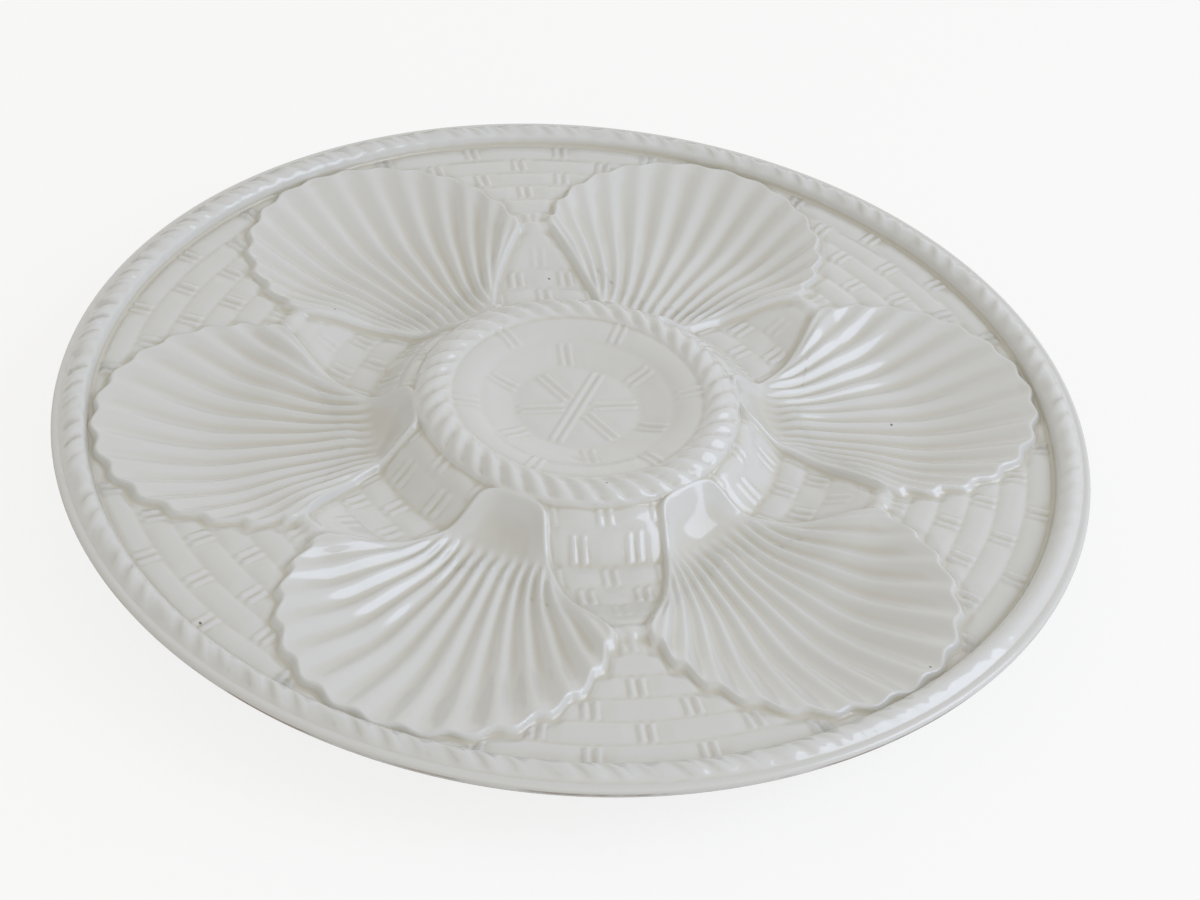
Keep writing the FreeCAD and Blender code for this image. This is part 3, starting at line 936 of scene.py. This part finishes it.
class Finishes:
    """Makes the nodes of one material, or of the world."""

    def __init__(self, owner: bpy.types.ID) -> None:
        """Empties the node tree of a material or a world.

        Args:
            owner: The material or the world.
        """
        owner.use_nodes = True
        self.owner = owner
        self.tree = owner.node_tree
        self.tree.nodes.clear()

    def node(self, kind: str, settings: dict, inputs: dict, output: object = 0) -> Shade:
        """Adds a node.

        Args:
            kind: The node's type.
            settings: Its own settings, which are set first.
            inputs: Values or links of its sockets, by name or number.
            output: Which output is wanted.

        Returns:
            That output.
        """
        made = self.tree.nodes.new(kind)
        for key, value in settings.items():
            setattr(made, key, value)
        for key, value in inputs.items():
            if isinstance(value, Shade):
                self.tree.links.new(value.socket, made.inputs[key])
            else:
                made.inputs[key].default_value = value
        return Shade(self, made.outputs[output])

    def colour(self, share: object, low: tuple, high: tuple) -> Shade:
        """A colour between two others."""
        return self.node("ShaderNodeMix", {"data_type": "RGBA"}, {0: share, 6: low, 7: high}, 2)

    def spots(self, scale: float, detail: float) -> Shade:
        """Even noise on the piece's own coordinates."""
        place = self.node("ShaderNodeTexCoord", {}, {}, "Object")
        return self.node("ShaderNodeTexNoise", {}, {"Vector": place, "Scale": scale, "Detail": detail})

    def close(self, surface: Shade, kind: str = "ShaderNodeOutputMaterial") -> bpy.types.ID:
        """Joins a surface to the tree's output and returns the material or world.

        Args:
            surface: The shader to show.
            kind: The output node's type.

        Returns:
            The material or the world.
        """
        out = self.tree.nodes.new(kind)
        self.tree.links.new(surface.socket, out.inputs["Surface"])
        return self.owner


@dataclass(frozen=True)
class GlazeFinish:
    """Glossy cream-white tin glaze: warmer and darker where it pools, which also paints shade into the
    hollows, with a painted highlight on crests, faint mottling and a few pinholes.
    """

    name: str = "white_glaze"
    cream: tuple = (0.705, 0.708, 0.698, 1)
    # Pooled glaze in the hollows, darker and warmer, which is also painted shade.
    pooled_and_shaded: tuple = (0.625, 0.605, 0.535, 1)
    # Painted highlight: a lighter, bluer colour on the crests.
    crest: tuple = (0.722, 0.730, 0.728, 1)
    speck: tuple = (0.10, 0.09, 0.07, 1)
    brown: tuple = (0.20, 0.115, 0.06, 1)
    clay: tuple = (0.60, 0.52, 0.40, 1)
    # Places in plan, in millimetres, of the specks in the photograph's glaze.
    pinholes: tuple[Span, ...] = (
        (2.1, 59.3), (1.2, -33.9), (-90.6, -66.0), (62.5, -91.7), (78.4, -3.0), (-54.5, 42.8))
    pinhole_size: Span = (0.00022, 0.0004)
    line_foot: Span = (0.0190, 0.0193)
    line_head: Span = (0.0196, 0.0199)
    line_radius: Span = (0.1214, 0.1220)
    line_breaks: Span = (0.44, 0.62)
    worn_edge: bool = False
    worn_foot: bool = False

    def make(self) -> Material:
        """Builds the material.

        Returns:
            The material.
        """
        tools = Finishes(bpy.data.materials.new(self.name))
        place = tools.node("ShaderNodeTexCoord", {}, {}, "Object")
        pool_and_shade = tools.node("ShaderNodeAttribute", {"attribute_name": "pool_and_shade"}, {}, "Fac")
        mottle = tools.spots(38.0, 3.0)
        # Hollows take the pooled colour, which is partly pooled glaze and partly painted shade; crests take
        # the painted highlight.
        hollow = (pool_and_shade + (mottle - 0.5) * 0.35).above(0.0, 0.85)
        raised = (0.0 - pool_and_shade + (mottle - 0.5) * 0.2).above(0.1, 1.0)
        base = tools.colour(hollow, self.cream, self.pooled_and_shaded)
        base = tools.colour(raised, base, self.crest)
        flat = tools.node("ShaderNodeVectorMath", {"operation": "MULTIPLY"}, {0: place, 1: (1, 1, 0)})
        pinhole = 0.0
        for x, y in self.pinholes:
            ends = {0: flat, 1: (x * MM, y * MM, 0)}
            away = tools.node("ShaderNodeVectorMath", {"operation": "DISTANCE"}, ends, "Value")
            pinhole = (1.0 - away.above(*self.pinhole_size)) + pinhole
        base = tools.colour(pinhole * 0.85, base, self.speck)
        rough = 0.30 + (mottle - 0.5) * 0.1
        coat = 1.0 - pinhole * 0.8
        height = tools.node("ShaderNodeSeparateXYZ", {}, {"Vector": place}, "Z")
        if self.worn_edge:
            base, coat = self.edge(tools, flat, height, base, coat)
        if self.worn_foot:
            bare = 1.0 - (height + (tools.spots(300.0, 2.0) - 0.5) * 0.0008).above(0.0004, 0.0009)
            base = tools.colour(bare, base, self.clay)
            coat = coat * (1.0 - bare)
            rough = rough + bare * 0.5
        ripple = tools.spots(190.0, 1.0) * 0.6 + tools.spots(700.0, 0.0) * 0.1
        bump = tools.node("ShaderNodeBump", {}, {"Strength": 1.0, "Distance": 0.00005, "Height": ripple})
        surface = tools.node("ShaderNodeBsdfPrincipled", {}, {
            "Base Color": base, "Roughness": rough, "Normal": bump, "IOR": 1.5, "Specular IOR Level": 0.2,
            "Coat Weight": coat, "Coat Roughness": 0.09, "Coat IOR": 1.5, "Coat Normal": bump})
        return tools.close(surface)

    def edge(self, tools: Finishes, flat: Shade, height: Shade, base: Shade, coat: Shade) -> tuple:
        """Wears the glaze thin to a broken brown line at the outermost edge.

        Args:
            tools: Makes the nodes.
            flat: Places in plan.
            height: Heights above the table.
            base: The colour so far.
            coat: The coat so far.

        Returns:
            The colour and the coat with the line in them.
        """
        radius = tools.node("ShaderNodeVectorMath", {"operation": "LENGTH"}, {0: flat}, "Value")
        broken = tools.spots(60.0, 4.0)
        wander = (broken - 0.5) * 0.0009
        low = (height + wander).above(*self.line_foot)
        high = 1.0 - (height + wander).above(*self.line_head)
        worn = radius.above(*self.line_radius) * low * high * broken.above(*self.line_breaks)
        return tools.colour(worn * 0.75, base, self.brown), coat * (1.0 - worn * 0.4)


@dataclass(frozen=True)
class FloorFinish:
    """A plain pale floor that shows nearly white and keeps the plate's shadow."""

    name: str = "floor"
    tone: tuple = (0.90, 0.90, 0.90, 1)
    whitened: float = 0.82

    def make(self) -> Material:
        """Builds the material.

        Returns:
            The material.
        """
        tools = Finishes(bpy.data.materials.new(self.name))
        matt = tools.node("ShaderNodeBsdfDiffuse", {}, {"Color": self.tone})
        white = tools.node("ShaderNodeEmission", {}, {"Color": (1, 1, 1, 1), "Strength": 1.0})
        seen = tools.node("ShaderNodeLightPath", {}, {}, "Is Camera Ray")
        mixed = tools.node("ShaderNodeMixShader", {}, {0: seen * self.whitened, 1: matt, 2: white})
        return tools.close(mixed)


# ---------------------------------------------------------------- the sub-assemblies

@dataclass
class ShellWells:
    """The six fluted shell wells."""

    bench: Bench
    joins: Joins
    ray_counts: tuple[int, ...] = (16, 92, 130, 16)
    bowl_rows: int = 64
    flank_rows: int = 15
    back_rows: int = 14
    crowded: float = 0.9
    crowded_rows: int = 15

    def rays(self) -> Array:
        """Angles of the rays round the hub, wider apart only behind the hinge.

        Returns:
            The angles, all the way round.
        """
        knots = self.joins.knots
        half = [knots[0]]
        for count, low, high in zip(self.ray_counts, knots, knots[1:]):
            half += list(np.linspace(low, high, count + 1)[1:])
        half = np.array(half)
        return np.concatenate([half, -half[1:-1][::-1]])

    def rows(self) -> Array:
        """Where the rows lie: 0 at the hub, 1 on the lip, 2 at the lip's foot.

        Returns:
            The rows, from the hub outwards.
        """
        inner = np.linspace(0, self.crowded, self.bowl_rows - self.crowded_rows + 1)
        near = np.linspace(self.crowded, 1, self.crowded_rows + 1)[1:]
        foot = np.linspace(1, 2, self.flank_rows + 1)[1:]
        return np.concatenate([inner, near, foot])

    def build(self, number: int, material: Material) -> None:
        """Presses one shell out of a barrel, whose upper levels are its face and lower levels its back.

        Args:
            number: Which shell, from 1.
            material: Its finish.
        """
        node = f"shell_well_{number}"
        rays, rows = self.rays(), self.rows()
        levels = len(rows) + self.back_rows
        piece, ray, level = self.bench.barrel(f"{node}_glazed", len(rays), levels)
        angle = rays[ray]
        on_top = level < len(rows)
        place = rows[np.minimum(level, len(rows) - 1)]
        shell = self.bench.skin.shell
        lip = shell.reach(angle)
        edge = self.joins.reach(angle)
        reach = np.where(place <= 1, place * lip, lip + (place - 1) * (edge - lip))
        reach = np.where(on_top, reach, np.clip((levels - level) / self.back_rows, 0, 1) * edge)
        turn = 2 * HALF_PITCH * (number - 1)
        well_x = shell.hub + reach * np.cos(angle)
        well_y = reach * np.sin(angle)
        x = well_x * math.cos(turn) - well_y * math.sin(turn)
        y = well_x * math.sin(turn) + well_y * math.cos(turn)
        self.bench.press(piece, x, y, on_top)
        finish_piece(piece, "white_glaze", material, node)


class Band(Enum):
    """The two bands of weave panels."""

    INNER = "inner_weave"
    OUTER = "outer_weave"


@dataclass
class WeavePanels:
    """The panels of basket weave between and outside the shells."""

    bench: Bench
    joins: Joins
    inner_faces: tuple[int, int] = (64, 84)
    outer_faces: tuple[int, int] = (200, 90)
    overlap: float = 0.15

    def build(self, band: Band, number: int, material: Material) -> None:
        """Presses one panel, between shell number and the next.

        Args:
            band: Whether the panel lies inside or outside the pinch of the shells.
            number: Which panel, from 1.
            material: Its finish.
        """
        inside = band is Band.INNER
        start = self.joins.centre_outer if inside else PINCH_RADIUS
        end = PINCH_RADIUS if inside else self.joins.rope_inner
        columns, rows = self.inner_faces if inside else self.outer_faces
        middle = HALF_PITCH * (2 * number - 1)

        def place(across: Array, along: Array) -> tuple[Array, Array]:
            """x and y at shares across and along the panel.

            Args:
                across: Shares from one side to the other.
                along: Shares from the inner end to the outer one.

            Returns:
                Both, in millimetres.
            """
            radius = start + (end - start) * along
            half = HALF_PITCH - self.joins.foot_angle(radius) + self.overlap / radius
            turn = middle + half - 2 * half * across
            return radius * np.cos(turn), radius * np.sin(turn)

        node = f"{band.value}_{number}"
        piece = self.bench.slab(f"{node}_glazed", columns, rows, place)
        finish_piece(piece, "white_glaze", material, node)


@dataclass
class RopeMoulding:
    """A twisted rope, pressed out of a torus whose upper side is its face."""

    bench: Bench
    node: str
    inner: float
    outer: float
    seat_z: float
    lean: float
    around: int
    across: int
    under: int = 6

    def build(self, material: Material) -> None:
        """Presses the rope.

        Args:
            material: Its finish.
        """
        section = self.across + self.under
        piece, turn, step = self.bench.ring(f"{self.node}_glazed", self.around, section)
        on_top = step <= self.across
        share = np.where(on_top, step / self.across, (section - step) / self.under)
        radius = self.outer - share * (self.outer - self.inner)
        turn += self.lean * (0.5 - share)
        x, y = radius * np.cos(turn), radius * np.sin(turn)
        self.bench.press(piece, x, y, on_top, self.seat_z)
        finish_piece(piece, "white_glaze", material, self.node)


@dataclass
class CentreDish:
    """The small dish in the middle, pressed out of a barrel flattened to its floor and its back."""

    bench: Bench
    radius: float = Joins.dish_radius
    rays: int = 432
    rows: int = 62
    back: tuple[Span, ...] = (
        (30.0, 20.2), (38.5, 20.2), (38.5, 16.0), (34.4, 15.55), (29.0, 15.1), (21.5, 14.6), (11.0, 14.6))

    def build(self, material: Material) -> None:
        """Presses the dish.

        Args:
            material: Its finish.
        """
        levels = self.rows + len(self.back) + 1
        piece, ray, level = self.bench.barrel("centre_dish_glazed", self.rays, levels)
        turn = ray / self.rays * 2 * math.pi
        on_top = level <= self.rows
        under = np.array(list(self.back) + [(0.0, self.back[-1][1])])
        below = under[np.clip(level - self.rows - 1, 0, len(under) - 1)]
        radius = np.where(on_top, level / self.rows * self.radius, below[:, 0])
        x, y = radius * np.cos(turn), radius * np.sin(turn)
        self.bench.press(piece, x, y, on_top, below[:, 1])
        finish_piece(piece, "white_glaze", material, "centre_dish")


@dataclass
class RolledEdge:
    """The plain rolled band outside the rope, with the back of the rim under the rope."""

    bench: Bench
    steps: int = 720
    back: tuple[Span, ...] = (
        (120.7, 18.8), (114.5, 18.8), (114.5, 13.7), (116.4, 14.45), (118.4, 15.35), (120.2, 16.35),
        (121.1, 17.3), (121.75, 18.1), (122.2, 18.72), (122.44, 19.25), (122.5, 19.72))
    crest: tuple[float, ...] = (122.36, 122.25, 122.1, 121.92, 121.7, 121.45, 121.2, 120.95, 120.7)
    crest_drop: tuple[float, ...] = (0.3, 0.16, 0.07, 0.02, 0.0, 0.0, 0.0, 0.0, 0.0)

    def build(self, material: Material) -> None:
        """Turns the edge.

        Args:
            material: Its finish.
        """
        radii = np.array(self.crest)
        heights = self.bench.skin.top(radii, np.zeros_like(radii)) - np.array(self.crest_drop)
        section = list(zip(radii, heights)) + list(self.back)
        piece = self.bench.turned("rim_edge_glazed", section, self.steps)
        self.bench.smooth(piece)
        finish_piece(piece, "edge_glaze", material, "rim_edge")


@dataclass
class FootRing:
    """The ring that the plate stands on."""

    bench: Bench
    height = 6.0
    inner = 54.0
    outer = 60.0
    draft: float = 1.0
    edge_round: float = 0.6
    steps: int = 360

    def build(self, material: Material) -> None:
        """Turns the foot ring, and rounds the two edges that it stands on.

        Args:
            material: Its finish.
        """
        section = [(self.outer, self.height), (self.inner, self.height),
                   (self.inner + 0.5 * self.draft, self.height / 2), (self.inner + self.draft, 0),
                   (self.outer - self.draft, 0), (self.outer - 0.5 * self.draft, self.height / 2)]
        piece = self.bench.turned("foot_ring_glazed", section, self.steps)
        bevel = piece.modifiers.new("rounded", "BEVEL")
        bevel.width = self.edge_round * MM
        bevel.segments = 4
        bevel.limit_method = "ANGLE"
        bevel.angle_limit = math.radians(50)
        bpy.ops.object.modifier_apply(modifier=bevel.name)
        self.bench.smooth(piece)
        finish_piece(piece, "foot_clay", material, "foot_ring")


def outward(azimuth: float, elevation: float) -> Vector:
    """The direction in which a camera or lamp stands, at an azimuth from -Y and a rise, both in radians."""
    flat = math.cos(elevation)
    return Vector((math.sin(azimuth) * flat, -math.cos(azimuth) * flat, math.sin(elevation)))


@dataclass(frozen=True)
class Lamp:
    """A soft square lamp that looks at the plate: angles in degrees, lengths in metres, power in watts."""

    name: str
    azimuth: float
    elevation: float
    away: float
    width: float
    power: float
    colour: tuple[float, float, float]

    def place(self) -> None:
        """Hangs the lamp."""
        back = outward(math.radians(self.azimuth), math.radians(self.elevation))
        data = bpy.data.lights.new(self.name, "AREA")
        data.shape = "SQUARE"
        data.size = self.width
        data.energy = self.power
        data.color = self.colour
        lamp = bpy.data.objects.new(self.name, data)
        lamp.location = back * self.away
        lamp.rotation_mode = "QUATERNION"
        lamp.rotation_quaternion = back.to_track_quat("Z", "Y")
        bpy.context.scene.collection.objects.link(lamp)


@dataclass
class Studio:
    """The floor, the light and the camera."""

    aim: tuple[float, float, float] = (2.585, -17.635, 20.0)
    azimuth: float = math.radians(-13.105)
    elevation: float = math.radians(40.01)
    distance: float = 535.15
    roll: float = math.radians(6.158)
    lens: float = 68.95
    world_light: float = 0.585
    world_colour: tuple = (1.0, 0.965, 0.88, 1)
    white: tuple = (1, 1, 1, 1)
    white_rays: tuple[str, ...] = ("Is Camera Ray", "Is Glossy Ray", "Is Transmission Ray")
    lamps: tuple[Lamp, ...] = (
        Lamp("window", azimuth=68, elevation=36, away=1.2, width=0.75, power=5.4, colour=(0.72, 0.81, 1.0)),
        Lamp("front", azimuth=-10, elevation=38, away=1.3, width=1.0, power=0.8, colour=(1.0, 0.975, 0.93)))
    floor_radius: float = 6.0
    floor_sides: int = 96

    def camera(self) -> None:
        """Places the camera as it was fitted to the photograph."""
        back = outward(self.azimuth, self.elevation)
        right = (-back).cross(Vector((0, 0, 1))).normalized()
        up = back.cross(right).normalized()
        tilted = math.cos(self.roll) * right + math.sin(self.roll) * up
        raised = -math.sin(self.roll) * right + math.cos(self.roll) * up
        turned = Matrix((tilted, raised, back)).transposed()
        data = bpy.data.cameras.new("camera")
        data.lens = self.lens
        data.sensor_width = 36
        data.sensor_fit = "HORIZONTAL"
        data.clip_start = 0.01
        data.clip_end = 20
        camera = bpy.data.objects.new("camera", data)
        place = (Vector(self.aim) + back * self.distance) * MM
        camera.matrix_world = Matrix.Translation(place) @ turned.to_4x4()
        bpy.context.scene.collection.objects.link(camera)
        bpy.context.scene.camera = camera

    def light(self) -> None:
        """Sets the soft studio light: pale surroundings that the camera sees as white, and the lamps."""
        tools = Finishes(bpy.data.worlds.new("studio"))
        pale = {"Color": self.world_colour, "Strength": self.world_light}
        seen = tools.node("ShaderNodeBackground", {}, {"Color": self.white, "Strength": 1.0})
        glow = tools.node("ShaderNodeBackground", {}, pale)
        rays = [tools.node("ShaderNodeLightPath", {}, {}, ray) for ray in self.white_rays]
        white = rays[0]
        for ray in rays[1:]:
            white = ray.sum("MAXIMUM", white, ray)
        mixed = tools.node("ShaderNodeMixShader", {}, {0: white, 1: glow, 2: seen})
        bpy.context.scene.world = tools.close(mixed, "ShaderNodeOutputWorld")
        for lamp in self.lamps:
            lamp.place()

    def floor(self) -> None:
        """Lays the pale floor under the plate."""
        bpy.ops.mesh.primitive_circle_add(
            vertices=self.floor_sides, radius=self.floor_radius, fill_type="NGON")
        floor = bpy.context.object
        floor.name = "floor"
        floor.data.materials.append(FloorFinish().make())
        floor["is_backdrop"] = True


def main() -> None:
    """Builds the plate's pieces in order, then the studio."""
    logging.basicConfig(level=logging.INFO, format="%(name)s %(message)s")
    bpy.ops.object.select_all(action="DESELECT")
    bpy.context.scene.view_settings.view_transform = "Standard"
    skin = Skin()
    joins = Joins(skin.shell)
    bench = Bench(skin)
    glaze = GlazeFinish().make()
    wells = ShellWells(bench, joins)
    panels = WeavePanels(bench, joins)
    for number in range(1, SHELLS + 1):
        wells.build(number, glaze)
        panels.build(Band.INNER, number, glaze)
        panels.build(Band.OUTER, number, glaze)
    RopeMoulding(bench, "rim_rope", Joins.rope_inner, Joins.rope_outer, seat_z=18.8,
                 lean=skin.rim_rope.lean, around=1728, across=18).build(glaze)
    RopeMoulding(bench, "centre_rope", Joins.dish_radius, Joins.centre_outer, seat_z=20.2,
                 lean=skin.centre_rope.lean, around=800, across=30).build(glaze)
    CentreDish(bench).build(glaze)
    RolledEdge(bench).build(GlazeFinish(name="edge_glaze", worn_edge=True).make())
    FootRing(bench).build(GlazeFinish(name="foot_clay", worn_foot=True).make())
    studio = Studio()
    studio.floor()
    studio.light()
    studio.camera()
    faces = sum(len(piece.data.polygons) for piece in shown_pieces())
    log.info("faces in all: %d", faces)


if __name__ == "__main__":
    main()
